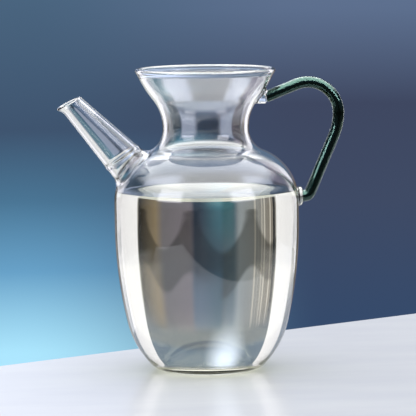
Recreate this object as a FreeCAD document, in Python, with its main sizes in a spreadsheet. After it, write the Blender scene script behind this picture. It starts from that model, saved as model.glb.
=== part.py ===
"""Glass tea pitcher: a blown body with a welded pouring spout, a bent glass rod handle, and the tea in it.

Frame: millimetres, +Z up, the origin on the table at the centre of the foot. The spout points to -X, the
handle to +X, and the plane y = 0 cuts both down the middle.
"""
import FreeCAD, Part
import math
import os

import Sketcher
from FreeCAD import Vector

os.makedirs("parts", exist_ok=True)
doc = FreeCAD.newDocument("tea_pitcher")

# Driving dimensions, in millimetres and degrees
SIZES = {
    # blown body, outside
    "height": 150.8,
    "rim_radius": 34.75,
    "trumpet_height": 28.4,
    "lip_bend": 54.0,
    "flare_bend": 23.0,
    "neck_radius": 21.5,
    "neck_straight": 0.6,
    "neck_bend": 11.8,
    "shoulder_bend": 27.2,
    "belly_radius": 46.1,
    "belly_straight": 10.6,
    "belly_bend": 217.0,
    "taper_height": 24.0,
    "taper_bend": 46.3,
    "foot_bend": 8.0,
    # glass thickness
    "wall": 2.0,
    "floor_thickness": 4.5,
    "floor_bend": 12.0,
    "rim_bead": 1.25,
    "punt_radius": 17.5,
    "punt_depth": 1.4,
    # pouring spout
    "spout_seat_angle": 44.1,
    "spout_rise": 47.4,
    "spout_length": 43.3,
    "spout_depth": 8.0,
    "spout_root_radius": 10.9,
    "spout_tip_radius": 6.0,
    "spout_wall": 1.7,
    "spout_flare_length": 3.6,
    "spout_flare_bend": 6.8,
    "spout_spare": 2.8,
    "mouth_slant_angle": 16.0,
    "mouth_round": 0.7,
    "root_fillet": 6.0,
    "bore_fillet": 4.0,
    "weld_ring_distance": 5.2,
    "weld_slant_angle": 8.6,
    "weld_ring_bead": 1.3,
    # handle rod and its weld pads
    "rod_radius": 2.85,
    "handle_reach": 20.8,
    "handle_drop": 7.8,
    "handle_bend": 15.6,
    "handle_side_bend": 28.0,
    "handle_rise": 21.5,
    "handle_lean": 23.3,
    "handle_elbow": 3.5,
    "handle_foot_rise": 1.6,
    "neck_pad_thickness": 2.3,
    "neck_pad_radius": 3.3,
    "belly_pad_thickness": 2.1,
    "belly_pad_radius": 4.6,
    "pad_round": 0.8,
    "pad_root": 0.8,
    # tea
    "tea_rise": 3.7,
}

dims = doc.addObject("Spreadsheet::Sheet", "dims")
for row, (alias, number) in enumerate(SIZES.items(), start=1):
    dims.set(f"A{row}", alias)
    dims.set(f"B{row}", str(number))
    dims.setAlias(f"B{row}", alias)
doc.recompute()

# Height of the belly's upper end, where the shoulder arc starts: below the neck by the rise of the two arcs
NECK_HEIGHT = "(dims.height - dims.rim_bead - dims.trumpet_height - dims.neck_straight)"
SHOULDER_RUN = "(dims.neck_radius + dims.neck_bend + dims.shoulder_bend - dims.belly_radius)"
SHOULDER_RISE = f"sqrt((dims.neck_bend + dims.shoulder_bend) ^ 2 - {SHOULDER_RUN} ^ 2)"
SHOULDER_HEIGHT = f"({NECK_HEIGHT} - {SHOULDER_RISE})"

# The rod's lower end and the tea's level, both a little above the start of the shoulder
FOOT_HEIGHT = f"({SHOULDER_HEIGHT} + dims.handle_foot_rise)"
TEA_HEIGHT = f"({SHOULDER_HEIGHT} + dims.tea_rise)"

# Where the spout's axis passes through the shoulder's surface, and the tilt of a level disc facing along it
SEAT_OUT = (
    "(dims.belly_radius - dims.shoulder_bend"
    " + dims.shoulder_bend * cos(dims.spout_seat_angle * 1 deg))"
)
SEAT_X = f"-{SEAT_OUT}"
SEAT_Z = f"({SHOULDER_HEIGHT} + dims.shoulder_bend * sin(dims.spout_seat_angle * 1 deg))"
SPOUT_TILT = "-(90 - dims.spout_rise)"

# Middle radius of the weld ring, in the tapered tube's wall
SPOUT_TAPER = (
    "((dims.spout_root_radius - dims.spout_tip_radius)"
    " / (dims.spout_depth + dims.spout_length - dims.spout_flare_length))"
)
WELD_RADIUS = (
    f"(dims.spout_root_radius - {SPOUT_TAPER} * (dims.spout_depth + dims.weld_ring_distance)"
    " - dims.spout_wall / 2)"
)

# The rod: the upper end of its top bend, and the faces of the two pads that its ends are fused to
OVER_X = (
    "(dims.belly_radius + dims.handle_reach - dims.handle_bend"
    " - dims.handle_bend * sin(dims.handle_rise * 1 deg))"
)
OVER_Z = (
    "(dims.height - dims.handle_drop - dims.handle_bend"
    " + dims.handle_bend * cos(dims.handle_rise * 1 deg))"
)
BELLY_SEAT = "(dims.belly_radius + dims.belly_pad_thickness)"
NECK_SEAT = "((dims.neck_radius + dims.rim_radius) / 2 + dims.neck_pad_thickness)"
NECK_SEAT_HEIGHT = f"({OVER_Z} - ({OVER_X} - {NECK_SEAT}) * tan(dims.handle_rise * 1 deg))"

# The sphere that hollows the underside
PUNT_SPHERE = "((dims.punt_radius ^ 2 + dims.punt_depth ^ 2) / (2 * dims.punt_depth))"


def size(name):
    """The number in the sheet under this alias."""
    return float(dims.get(name))


def worked_out(formula):
    """The number that a formula of the sheet's cells comes to."""
    number = dims.evalExpression(formula)
    return float(getattr(number, "Value", number))


def origin_plane(body, role):
    """One of a body's own base planes."""
    return next(plane for plane in body.Origin.OriginFeatures if plane.Role == role)


def new_sketch(body, name, role="XZ_Plane"):
    """A sketch on one of the body's own planes."""
    sketch = body.newObject("Sketcher::SketchObject", name)
    sketch.AttachmentSupport = (origin_plane(body, role), [""])
    sketch.MapMode = "FlatFace"
    return sketch


def drive(sketch, name, formula, kind, *where):
    """Add a dimension to the sketch and bind it to a formula of the sheet's cells."""
    number = worked_out(formula)
    value = math.radians(number) if kind == "Angle" else number
    index = sketch.addConstraint(Sketcher.Constraint(kind, *where, value))
    sketch.renameConstraint(index, name)
    sketch.setExpression(f"Constraints.{name}", formula)


def bind(obj, **formulas):
    """Bind properties of an object to formulas; a double underscore in a name stands for a dot."""
    for name, formula in formulas.items():
        obj.setExpression(name.replace("__", "."), formula)


def place(obj, x, z, tilt):
    """Stand an object's own Z axis at a point of the plane y = 0, tilted about Y, all by formula."""
    obj.Placement = FreeCAD.Placement(Vector(0, 0, 0), FreeCAD.Rotation(Vector(0, 1, 0), 1))
    bind(obj, Placement__Base__x=x, Placement__Base__z=z, Placement__Rotation__Angle=tilt)


def arc(centre, radius, start, end):
    """An arc counterclockwise from one angle to another, in degrees, in the sketch's own plane."""
    circle = Part.Circle(Vector(*centre, 0), Vector(0, 0, 1), radius)
    return Part.ArcOfCircle(circle, math.radians(start), math.radians(end))


def line(start, end):
    """A straight line between two points of the sketch's own plane."""
    return Part.LineSegment(Vector(*start, 0), Vector(*end, 0))


def on_circle(centre, radius, angle):
    """The point of a circle at an angle in degrees."""
    turn = math.radians(angle)
    return (centre[0] + radius * math.cos(turn), centre[1] + radius * math.sin(turn))


def angle_of(start, end):
    """The direction from one point to another, in degrees."""
    return math.degrees(math.atan2(end[1] - start[1], end[0] - start[0]))


def pot_profile(body, name, offset, floor, corner):
    """Half the section of the blown body, its wall moved outward by the named offset.

    Tangent arcs run from the foot up the taper, belly, shoulder and neck to the lip. floor and corner are
    the formulas for the height of the flat bottom and for the bend above it.
    """
    out = worked_out(offset)
    bottom = worked_out(floor)
    foot = worked_out(corner)
    rim = (size("rim_radius") + out, size("height") - size("rim_bead"))
    neck = size("neck_radius") + out
    neck_top = rim[1] - size("trumpet_height")
    neck_low = neck_top - size("neck_straight")
    belly = size("belly_radius") + out

    # centres of the arcs, from the neck down
    neck_centre = (size("neck_radius") + size("neck_bend"), neck_low)
    reach = size("neck_bend") + size("shoulder_bend")
    run = neck_centre[0] - size("belly_radius") + size("shoulder_bend")
    shoulder_turn = math.degrees(math.acos(run / reach))
    shoulder_centre = (neck_centre[0] - run, neck_low - math.sqrt(reach ** 2 - run ** 2))
    belly_low = shoulder_centre[1] - size("belly_straight")
    belly_arc = size("belly_bend") + out
    taper_arc = size("taper_bend") + out
    belly_centre = (belly - belly_arc, belly_low)
    belly_turn = math.degrees(math.asin((belly_low - size("taper_height")) / belly_arc))
    taper_centre = on_circle(belly_centre, belly_arc - taper_arc, -belly_turn)
    foot_turn = math.degrees(math.asin((taper_centre[1] - bottom - foot) / (taper_arc - foot)))
    foot_centre = on_circle(taper_centre, taper_arc - foot, -foot_turn)

    # the lip arc touches the flare arc and ends at the rim
    flare_centre = (size("neck_radius") + size("flare_bend"), neck_top)
    flare_arc = size("flare_bend") - out
    lip_arc = size("lip_bend") + out
    span = math.dist(rim, flare_centre)
    swing = ((flare_arc + lip_arc) ** 2 + span ** 2 - lip_arc ** 2) / (2 * (flare_arc + lip_arc) * span)
    lip_side = angle_of(flare_centre, rim) + math.degrees(math.acos(swing))
    lip_centre = on_circle(flare_centre, flare_arc + lip_arc, lip_side)

    sketch = new_sketch(body, name, "YZ_Plane")
    sketch.addGeometry([
        line((0, bottom), (foot_centre[0], bottom)),
        arc(foot_centre, foot, -90, -foot_turn),
        arc(taper_centre, taper_arc, -foot_turn, -belly_turn),
        arc(belly_centre, belly_arc, -belly_turn, 0),
        line((belly, belly_low), (belly, shoulder_centre[1])),
        arc(shoulder_centre, size("shoulder_bend") + out, 0, shoulder_turn),
        arc(neck_centre, size("neck_bend") - out, 180, 180 + shoulder_turn),
        line((neck, neck_low), (neck, neck_top)),
        arc(flare_centre, flare_arc, lip_side, 180),
        arc(lip_centre, lip_arc, lip_side - 180, angle_of(lip_centre, rim)),
        line(rim, (0, rim[1])),
        line((0, rim[1]), (0, bottom)),
    ], False)
    base_line, foot_edge, taper, belly_edge, wall_line, shoulder = range(6)
    neck_arc, neck_line, flare, lip, top, axis = range(6, 12)
    start, end = 1, 2
    origin, upright = -1, -2
    sketch.addConstraint([
        Sketcher.Constraint("Horizontal", base_line),
        Sketcher.Constraint("Vertical", wall_line),
        Sketcher.Constraint("Vertical", neck_line),
        Sketcher.Constraint("Horizontal", top),
        Sketcher.Constraint("Tangent", base_line, end, foot_edge, start),
        Sketcher.Constraint("Tangent", foot_edge, end, taper, start),
        Sketcher.Constraint("Tangent", taper, end, belly_edge, start),
        Sketcher.Constraint("Tangent", belly_edge, end, wall_line, start),
        Sketcher.Constraint("Tangent", wall_line, end, shoulder, start),
        Sketcher.Constraint("Tangent", shoulder, end, neck_arc, end),
        Sketcher.Constraint("Tangent", neck_arc, start, neck_line, start),
        Sketcher.Constraint("Tangent", neck_line, end, flare, end),
        Sketcher.Constraint("Tangent", flare, start, lip, start),
        Sketcher.Constraint("Coincident", lip, end, top, start),
        Sketcher.Constraint("Coincident", top, end, axis, start),
        Sketcher.Constraint("Coincident", axis, end, base_line, start),
        Sketcher.Constraint("PointOnObject", base_line, start, upright),
        Sketcher.Constraint("PointOnObject", top, end, upright),
    ])
    if bottom == 0:
        sketch.addConstraint(Sketcher.Constraint("PointOnObject", base_line, end, origin))
    else:
        drive(sketch, "floor", floor, "DistanceY", origin, start, base_line, start)
    drive(sketch, "corner", corner, "Radius", foot_edge)
    drive(sketch, "taper_bend", f"dims.taper_bend + {offset}", "Radius", taper)
    drive(sketch, "taper_height", "dims.taper_height", "DistanceY", origin, start, taper, end)
    drive(sketch, "belly_bend", f"dims.belly_bend + {offset}", "Radius", belly_edge)
    drive(sketch, "belly", f"dims.belly_radius + {offset}", "DistanceX", origin, start, wall_line, start)
    drive(sketch, "belly_straight", "dims.belly_straight", "DistanceY", wall_line, start, wall_line, end)
    drive(sketch, "shoulder_bend", f"dims.shoulder_bend + {offset}", "Radius", shoulder)
    drive(sketch, "neck_bend", f"dims.neck_bend - {offset}", "Radius", neck_arc)
    drive(sketch, "neck", f"dims.neck_radius + {offset}", "DistanceX", origin, start, neck_line, start)
    drive(sketch, "neck_straight", "dims.neck_straight", "DistanceY", neck_line, start, neck_line, end)
    drive(sketch, "trumpet", "dims.trumpet_height", "DistanceY", neck_line, end, lip, end)
    drive(sketch, "flare_bend", f"dims.flare_bend - {offset}", "Radius", flare)
    drive(sketch, "lip_bend", f"dims.lip_bend + {offset}", "Radius", lip)
    drive(sketch, "rim", f"dims.rim_radius + {offset}", "DistanceX", origin, start, lip, end)
    drive(sketch, "rim_height", "dims.height - dims.rim_bead", "DistanceY", origin, start, lip, end)
    return sketch


def spout_profile(body, name, offset):
    """Half the section of the pouring spout about its own slanted axis, its wall moved outward by offset.

    The axis starts inside the body, passes through the shoulder and ends a little beyond the mouth. The
    tube is a straight taper that flares at its end.
    """
    out = worked_out(offset)
    seat = (worked_out(SEAT_X), worked_out(SEAT_Z))
    rise = 180 - size("spout_rise")
    flare_start = size("spout_length") - size("spout_flare_length")
    taper = math.atan(worked_out(SPOUT_TAPER))
    first = -size("spout_depth")
    last = size("spout_length") + size("spout_spare")
    root = size("spout_root_radius") + out
    tip = size("spout_tip_radius") + out
    flare = size("spout_flare_bend") - out
    centre = (flare_start + flare * math.sin(taper), tip + flare * math.cos(taper))
    turn = math.asin((last - centre[0]) / flare)
    lip = centre[1] - flare * math.cos(turn)

    def at(along, away):
        """The point at a distance along the axis from the seat, and away from it on the upper side."""
        return on_circle(on_circle(seat, along, rise), away, rise - 90)

    sketch = new_sketch(body, name)
    sketch.addGeometry([
        line(at(first, 0), at(last, 0)),
        line(at(first, 0), at(first, root)),
        line(at(first, root), at(flare_start, tip)),
        arc(at(*centre), flare, rise + 90 - math.degrees(turn), rise + 90 + math.degrees(taper)),
        line(at(last, lip), at(last, 0)),
    ], False)
    sketch.addGeometry(Part.Point(Vector(*seat, 0)), True)
    axis, inner, tube, edge, outer, seat_point = range(6)
    start, end = 1, 2
    origin = -1
    sketch.addConstraint([
        Sketcher.Constraint("Coincident", axis, start, inner, start),
        Sketcher.Constraint("Coincident", inner, end, tube, start),
        Sketcher.Constraint("Tangent", tube, end, edge, end),
        Sketcher.Constraint("Coincident", edge, start, outer, start),
        Sketcher.Constraint("Coincident", outer, end, axis, end),
        Sketcher.Constraint("Perpendicular", inner, axis),
        Sketcher.Constraint("Perpendicular", outer, axis),
        Sketcher.Constraint("PointOnObject", seat_point, start, axis),
    ])
    past_mouth = "dims.spout_length + dims.spout_spare"
    past_flare = "dims.spout_flare_length + dims.spout_spare"
    drive(sketch, "seat_x", SEAT_X, "DistanceX", origin, start, seat_point, start)
    drive(sketch, "seat_z", SEAT_Z, "DistanceY", origin, start, seat_point, start)
    drive(sketch, "rise", "180 - dims.spout_rise", "Angle", axis)
    drive(sketch, "depth", "dims.spout_depth", "Distance", seat_point, start, axis, start)
    drive(sketch, "length", past_mouth, "Distance", seat_point, start, axis, end)
    drive(sketch, "root", f"dims.spout_root_radius + {offset}", "Distance", inner)
    drive(sketch, "tip", f"dims.spout_tip_radius + {offset}", "Distance", tube, end, axis)
    drive(sketch, "flare_length", past_flare, "Distance", tube, end, outer)
    drive(sketch, "flare_bend", f"dims.spout_flare_bend - {offset}", "Radius", edge)
    return sketch


def revolve(body, name, sketch, axis):
    """Turn a profile once round its axis, added to the body."""
    turned = body.newObject("PartDesign::Revolution", name)
    turned.Profile = sketch
    turned.ReferenceAxis = axis
    turned.Angle = 360
    sketch.Visibility = False
    return turned


def near(shape, point):
    """Whether a point lies on a shape."""
    return shape.distToShape(Part.Vertex(point))[0] < 0.001


def fillet_where_forms_meet(body, name, radius, first):
    """Round the edge where the spout's surface meets the body's."""
    doc.recompute()
    fused = body.Tip
    chosen = []
    for index, edge in enumerate(fused.Shape.Edges, start=1):
        middle = edge.valueAt((edge.FirstParameter + edge.LastParameter) / 2)
        kept = any(old.isPartner(edge) for old in first.Shape.Edges)
        if near(first.Shape, middle) and not kept and middle.x < 0 and edge.Length > 1:
            chosen.append(f"Edge{index}")
    rounding = body.newObject("PartDesign::Fillet", name)
    rounding.Base = (fused, chosen)
    rounding.setExpression("Radius", radius)
    return rounding


def blown_form(name, offset, floor, corner, spout_offset, root_radius):
    """The turned body with the spout standing on its shoulder: once as the outside, once as the hollow."""
    body = doc.addObject("PartDesign::Body", name)
    pot = pot_profile(body, f"{name}_pot", offset, floor, corner)
    turned = revolve(body, f"{name}_turned", pot, (pot, ["V_Axis"]))
    doc.recompute()
    spout = spout_profile(body, f"{name}_spout", spout_offset)
    revolve(body, f"{name}_spout_turned", spout, (spout, ["Edge1"]))
    fillet_where_forms_meet(body, f"{name}_root", root_radius, turned)
    doc.recompute()
    return body


outside = blown_form("outside", "0", "0", "dims.foot_bend", "0", "dims.root_fillet")
hollow = blown_form("hollow", "-dims.wall", "dims.floor_thickness", "dims.floor_bend", "-dims.spout_wall",
                    "dims.bore_fillet")


def combine(kind, name, base, tool):
    """A boolean of two objects: Cut, Fuse or Common."""
    result = doc.addObject(f"Part::{kind}", name)
    result.Base = base
    result.Tool = tool
    return result


def round_edges(name, base, radius, choose):
    """Round the edges of an object that the given test picks."""
    doc.recompute()
    chosen = [n for n, edge in enumerate(base.Shape.Edges, start=1) if choose(edge)]
    rounded = doc.addObject("Part::Fillet", name)
    rounded.Base = base
    rounded.Edges = [(n, size(radius), size(radius)) for n in chosen]
    return rounded


def points_along(edge, count=5):
    """Points spread over an edge."""
    span = edge.LastParameter - edge.FirstParameter
    return [edge.valueAt(edge.FirstParameter + span * k / (count - 1)) for k in range(count)]


def along_spout(distance):
    """Formulas for the point of the spout's axis at a distance from its seat."""
    return (f"{SEAT_X} - ({distance}) * cos(dims.spout_rise * 1 deg)",
            f"{SEAT_Z} + ({distance}) * sin(dims.spout_rise * 1 deg)")


def rod_path(body):
    """Straight runs and tangent arcs in the plane y = 0, from the belly pad up and over to the neck."""
    bend = size("handle_bend")
    side = size("handle_side_bend")
    elbow = size("handle_elbow")
    rise = size("handle_rise")
    lean = size("handle_lean")
    foot = worked_out(FOOT_HEIGHT)
    neck = size("neck_radius")
    reach = size("belly_radius") + size("handle_reach")
    top_centre = (reach - bend, size("height") - size("handle_drop") - bend)
    side_centre = (reach - side, top_centre[1])
    side_low = on_circle(side_centre, side, -lean)
    slope = math.radians(lean)
    elbow_high = foot + elbow * (1 - math.sin(slope))
    elbow_start = (side_low[0] - (side_low[1] - elbow_high) * math.tan(slope), elbow_high)
    elbow_centre = (elbow_start[0] - elbow * math.cos(slope), foot + elbow)
    over = on_circle(top_centre, bend, 90 + rise)
    neck_end = (neck, over[1] - (over[0] - neck) * math.tan(math.radians(rise)))

    sketch = new_sketch(body, "rod_path")
    sketch.addGeometry([
        line((worked_out(BELLY_SEAT), foot), (elbow_centre[0], foot)),
        arc(elbow_centre, elbow, -90, -lean),
        line(elbow_start, side_low),
        arc(side_centre, side, -lean, 0),
        arc(top_centre, bend, 0, 90 + rise),
        line(over, neck_end),
    ], False)
    foot_run, elbow_arc, long_run, side_arc, top_arc, neck_run = range(6)
    start, end, centre_point = 1, 2, 3
    origin = -1
    sketch.addConstraint([
        Sketcher.Constraint("Horizontal", foot_run),
        Sketcher.Constraint("Tangent", foot_run, end, elbow_arc, start),
        Sketcher.Constraint("Tangent", elbow_arc, end, long_run, start),
        Sketcher.Constraint("Tangent", long_run, end, side_arc, start),
        Sketcher.Constraint("Tangent", side_arc, end, top_arc, start),
        Sketcher.Constraint("Tangent", top_arc, end, neck_run, start),
        Sketcher.Constraint("Horizontal", side_arc, end, top_arc, centre_point),
    ])
    furthest = "dims.belly_radius + dims.handle_reach"
    bend_height = "dims.height - dims.handle_drop - dims.handle_bend"
    drive(sketch, "foot_x", BELLY_SEAT, "DistanceX", origin, start, foot_run, start)
    drive(sketch, "foot_z", FOOT_HEIGHT, "DistanceY", origin, start, foot_run, start)
    drive(sketch, "elbow", "dims.handle_elbow", "Radius", elbow_arc)
    drive(sketch, "lean", "90 - dims.handle_lean", "Angle", long_run)
    drive(sketch, "side_bend", "dims.handle_side_bend", "Radius", side_arc)
    drive(sketch, "bend", "dims.handle_bend", "Radius", top_arc)
    drive(sketch, "reach", furthest, "DistanceX", origin, start, side_arc, end)
    drive(sketch, "top", bend_height, "DistanceY", origin, start, top_arc, centre_point)
    drive(sketch, "rise", "180 + dims.handle_rise", "Angle", neck_run)
    drive(sketch, "neck_x", "dims.neck_radius", "DistanceX", origin, start, neck_run, end)
    return sketch


def rod_section(body):
    """The rod's round section, upright on the face of the belly pad."""
    sketch = new_sketch(body, "rod_section", "YZ_Plane")
    bind(sketch, AttachmentOffset__Base__z=BELLY_SEAT)
    centre = Vector(0, worked_out(FOOT_HEIGHT), 0)
    sketch.addGeometry(Part.Circle(centre, Vector(0, 0, 1), size("rod_radius")))
    circle, start, centre_point = 0, 1, 3
    origin, upright = -1, -2
    sketch.addConstraint(Sketcher.Constraint("PointOnObject", circle, centre_point, upright))
    drive(sketch, "foot", FOOT_HEIGHT, "DistanceY", origin, start, circle, centre_point)
    drive(sketch, "rod_radius", "dims.rod_radius", "Radius", circle)
    return sketch


# The rod, from the pad on the belly up and over to the pad on the neck
rod = doc.addObject("PartDesign::Body", "rod")
path = rod_path(rod)
section = rod_section(rod)
doc.recompute()
swept = rod.newObject("PartDesign::AdditivePipe", "rod_swept")
swept.Profile = section
swept.Spine = (path, [])
doc.recompute()

# The clear pads that the rod's ends are fused to: level stubs with rounded rims
neck_pad = doc.addObject("Part::Cylinder", "neck_pad")
bind(neck_pad, Radius="dims.neck_pad_radius", Height=f"{NECK_SEAT} - dims.neck_radius + 2 * dims.wall")
place(neck_pad, "dims.neck_radius - 2 * dims.wall", NECK_SEAT_HEIGHT, "90")
belly_pad = doc.addObject("Part::Cylinder", "belly_pad")
bind(belly_pad, Radius="dims.belly_pad_radius", Height="dims.wall + dims.belly_pad_thickness")
place(belly_pad, "dims.belly_radius - dims.wall", FOOT_HEIGHT, "90")


def outer_rim(pad):
    """A test that picks the edge of a pad's outer end."""
    return lambda edge: edge.BoundBox.XMin > pad.Shape.BoundBox.XMax - 0.001


doc.recompute()
rounded_pads = [
    round_edges(f"{pad.Name}_rounded", pad, "pad_round", outer_rim(pad))
    for pad in (neck_pad, belly_pad)
]

# The weld ring round the spout's root, the slanted cut of its mouth, the rim bead and the hollowed foot
weld_ring = doc.addObject("Part::Torus", "weld_ring")
bind(weld_ring, Radius1=WELD_RADIUS, Radius2="dims.weld_ring_bead")
place(weld_ring, *along_spout("dims.weld_ring_distance"), f"{SPOUT_TILT} + dims.weld_slant_angle")
mouth_cutter = doc.addObject("Part::Cylinder", "mouth_cutter")
bind(mouth_cutter, Radius="2 * dims.spout_root_radius", Height="dims.spout_length")
place(mouth_cutter, *along_spout("dims.spout_length"), f"{SPOUT_TILT} + dims.mouth_slant_angle")
rim_bead = doc.addObject("Part::Torus", "rim_bead")
bind(rim_bead, Radius1="dims.rim_radius - dims.wall / 2", Radius2="dims.rim_bead")
place(rim_bead, "0", "dims.height - dims.rim_bead", "0")
punt = doc.addObject("Part::Sphere", "punt")
bind(punt, Radius=PUNT_SPHERE)
place(punt, "0", f"dims.punt_depth - {PUNT_SPHERE}", "0")

# The outside form with its pads, rounded where they grow out of the wall
padded = doc.addObject("Part::MultiFuse", "padded")
padded.Shapes = [outside, *rounded_pads]
doc.recompute()
pot_surface = doc.getObject("outside_turned").Shape
pad_sides = [pad.Shape.Faces[0] for pad in (neck_pad, belly_pad)]


def where_pad_leaves_wall(edge):
    """A test that picks the edges where a pad grows out of the wall."""
    points = points_along(edge)
    on_wall = all(near(pot_surface, point) for point in points)
    return on_wall and any(all(near(side, point) for point in points) for side in pad_sides)


# The glass: that form less the hollow, then the welds, the foot and the two mouths
welded = round_edges("welded", padded, "pad_root", where_pad_leaves_wall)
walled = combine("Cut", "walled", welded, hollow)
ringed = combine("Fuse", "ringed", walled, weld_ring)
beaded = combine("Fuse", "beaded", ringed, rim_bead)
footed = combine("Cut", "footed", beaded, punt)
opened = combine("Cut", "opened", footed, mouth_cutter)


def in_mouth_plane(edge):
    """A test that picks the two edges of the spout's slanted mouth."""
    centre = mouth_cutter.Placement.Base
    square = mouth_cutter.Placement.Rotation.multVec(Vector(0, 0, 1))
    points = points_along(edge)
    level = all(abs((point - centre).dot(square)) < 0.001 for point in points)
    return level and all(point.distanceToPoint(centre) < size("spout_root_radius") for point in points)


glass_body = round_edges("glass_body", opened, "mouth_round", in_mouth_plane)

# The rod, cut upright at its upper end where it meets the neck pad
neck_cutter = doc.addObject("Part::Cylinder", "neck_cutter")
bind(neck_cutter, Radius="3 * dims.rod_radius", Height=NECK_SEAT)
place(neck_cutter, "0", NECK_SEAT_HEIGHT, "90")
rod_trimmed = combine("Cut", "rod_trimmed", rod, neck_cutter)
handle = combine("Cut", "handle", rod_trimmed, glass_body)

# The tea fills the hollow up to its level
below_level = doc.addObject("Part::Cylinder", "below_level")
bind(below_level, Radius="dims.belly_radius", Height=TEA_HEIGHT)
tea = combine("Common", "tea", hollow, below_level)
doc.recompute()

for obj in doc.Objects:
    if "Invalid" in obj.State or "Error" in obj.State:
        raise RuntimeError(f"{obj.Name} failed: {obj.State}")
for node in (glass_body, handle, tea):
    if node.Shape.isNull() or not node.Shape.isValid() or len(node.Shape.Solids) != 1:
        raise RuntimeError(f"{node.Label} is not one valid solid")
    print(node.Label, round(node.Shape.Volume, 1), "mm3", node.Shape.optimalBoundingBox())
    node.Shape.exportStep(f"parts/{node.Label}.step")
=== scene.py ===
# %% [markdown]
# # A glass tea pitcher
#
# The pitcher is blown from clear borosilicate glass. A flared mouth narrows to a neck, opens over a round
# shoulder and runs down a tall belly to a thick, slightly hollowed foot. A tapered spout is welded to one
# shoulder, and a dark green glass rod is fused on the other side as the handle. Pale tea fills it to the
# shoulder. This lesson dresses the packed model of that pitcher: smooth glass surfaces worked out with
# numpy, three clear materials, and the light that makes glass readable.
#
# Everything is in metres, with +Z up, the spout towards -X and the handle towards +X.

# %% Load the frame
import math

import bpy
import numpy as np
from mathutils import Matrix, Vector


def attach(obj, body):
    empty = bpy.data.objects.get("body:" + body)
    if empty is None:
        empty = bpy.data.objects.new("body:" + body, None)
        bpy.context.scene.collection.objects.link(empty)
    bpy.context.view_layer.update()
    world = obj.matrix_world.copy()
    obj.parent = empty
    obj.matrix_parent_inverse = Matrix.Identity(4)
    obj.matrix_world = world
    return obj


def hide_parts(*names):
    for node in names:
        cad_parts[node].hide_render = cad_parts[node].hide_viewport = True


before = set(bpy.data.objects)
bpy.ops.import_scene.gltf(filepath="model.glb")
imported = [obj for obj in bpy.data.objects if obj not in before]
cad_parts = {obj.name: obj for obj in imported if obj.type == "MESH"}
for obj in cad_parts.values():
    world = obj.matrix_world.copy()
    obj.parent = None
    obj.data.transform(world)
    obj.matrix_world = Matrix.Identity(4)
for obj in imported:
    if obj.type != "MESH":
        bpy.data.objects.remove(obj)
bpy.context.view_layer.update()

# %% [markdown]
# ## The sizes
#
# The sizes are the ones the solids were made from, in millimetres and degrees, so each surface below lies
# on the solid it stands for. Only the tea's level is its own, because the tea drawn here climbs at the
# wall. The sizes are kept in one place, because the same number shapes the outside of a wall, its inside
# and what is welded to it.

# %% Sizes of the pitcher, in millimetres and degrees
MM = 0.001
HEIGHT = 150.8
RIM_RADIUS, RIM_BEAD, TRUMPET = 34.75, 1.25, 28.4
LIP_BEND, FLARE_BEND = 54.0, 23.0
NECK_RADIUS, NECK_STRAIGHT, NECK_BEND = 21.5, 0.6, 11.8
SHOULDER_BEND = 27.2
BELLY_RADIUS, BELLY_STRAIGHT, BELLY_BEND = 46.1, 10.6, 217.0
TAPER_HEIGHT, TAPER_BEND, FOOT_BEND = 24.0, 46.3, 8.0
WALL, FLOOR_THICKNESS, FLOOR_BEND = 2.0, 4.5, 12.0
PUNT_RADIUS, PUNT_DEPTH = 17.5, 1.4
SEAT_ANGLE, SPOUT_RISE, SPOUT_LENGTH, SPOUT_DEPTH = 44.1, 47.4, 43.3, 8.0
SPOUT_ROOT, SPOUT_TIP, SPOUT_WALL = 10.9, 6.0, 1.7
SPOUT_FLARE, SPOUT_FLARE_BEND, MOUTH_SLANT, MOUTH_ROUND = 3.6, 6.8, 16.0, 0.7
WELD_DISTANCE, WELD_SLANT = 5.2, 8.6
ROD_RADIUS = 2.85
REACH, DROP, TOP_BEND, SIDE_BEND = 20.8, 7.8, 15.6, 28.0
RISE, LEAN, ELBOW, ROD_FOOT = 21.5, 23.3, 3.5, 85.9
NECK_PAD, NECK_PAD_RADIUS, BELLY_PAD, BELLY_PAD_RADIUS = 2.3, 3.3, 2.1, 4.6
TEA_HEIGHT = 86.2
print("height", HEIGHT, "mm, belly", 2 * BELLY_RADIUS, "mm across, neck", 2 * NECK_RADIUS, "mm across")


# %% [markdown]
# ## Small helpers for curves
#
# A blown form is a chain of arcs that touch without a corner, because hot glass flows into such curves on
# the lathe. Each helper below returns many points at once as a numpy array, and the chain is made by
# joining them.

# %% Points on arcs and smooth curves
def arc_points(centre, radius, start, end, count):
    """Points c + r (cos a, sin a), with the angle a going evenly from start to end, in degrees."""
    angle = np.radians(np.linspace(start, end, count))
    return np.stack([centre[0] + radius * np.cos(angle), centre[1] + radius * np.sin(angle)], axis=1)


def bezier(p0, p1, p2, p3, u):
    """The cubic (1-u)^3 p0 + 3 (1-u)^2 u p1 + 3 (1-u) u^2 p2 + u^3 p3, for arrays of any matching shape."""
    v = 1.0 - u
    return v ** 3 * p0 + 3 * v ** 2 * u * p1 + 3 * v * u ** 2 * p2 + u ** 3 * p3


def on_circle(centre, radius, angle):
    """The point of a circle at an angle in degrees."""
    turn = math.radians(angle)
    return np.array([centre[0] + radius * math.cos(turn), centre[1] + radius * math.sin(turn)])


def angle_of(start, end):
    """The direction from one point to another, in degrees."""
    return math.degrees(math.atan2(end[1] - start[1], end[0] - start[0]))


print("helpers ready")


# %% [markdown]
# ## The wall's two profiles
#
# The outside and the inside of the blown wall are one family of curves: moving the wall inward by its
# thickness makes every convex arc smaller and every hollow arc larger by that much, while the centres
# stay. So one function gives both, from the foot up to the lip. The inside has its own flat floor and a
# wider corner above it, because a blown foot is thicker than its wall.

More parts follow.
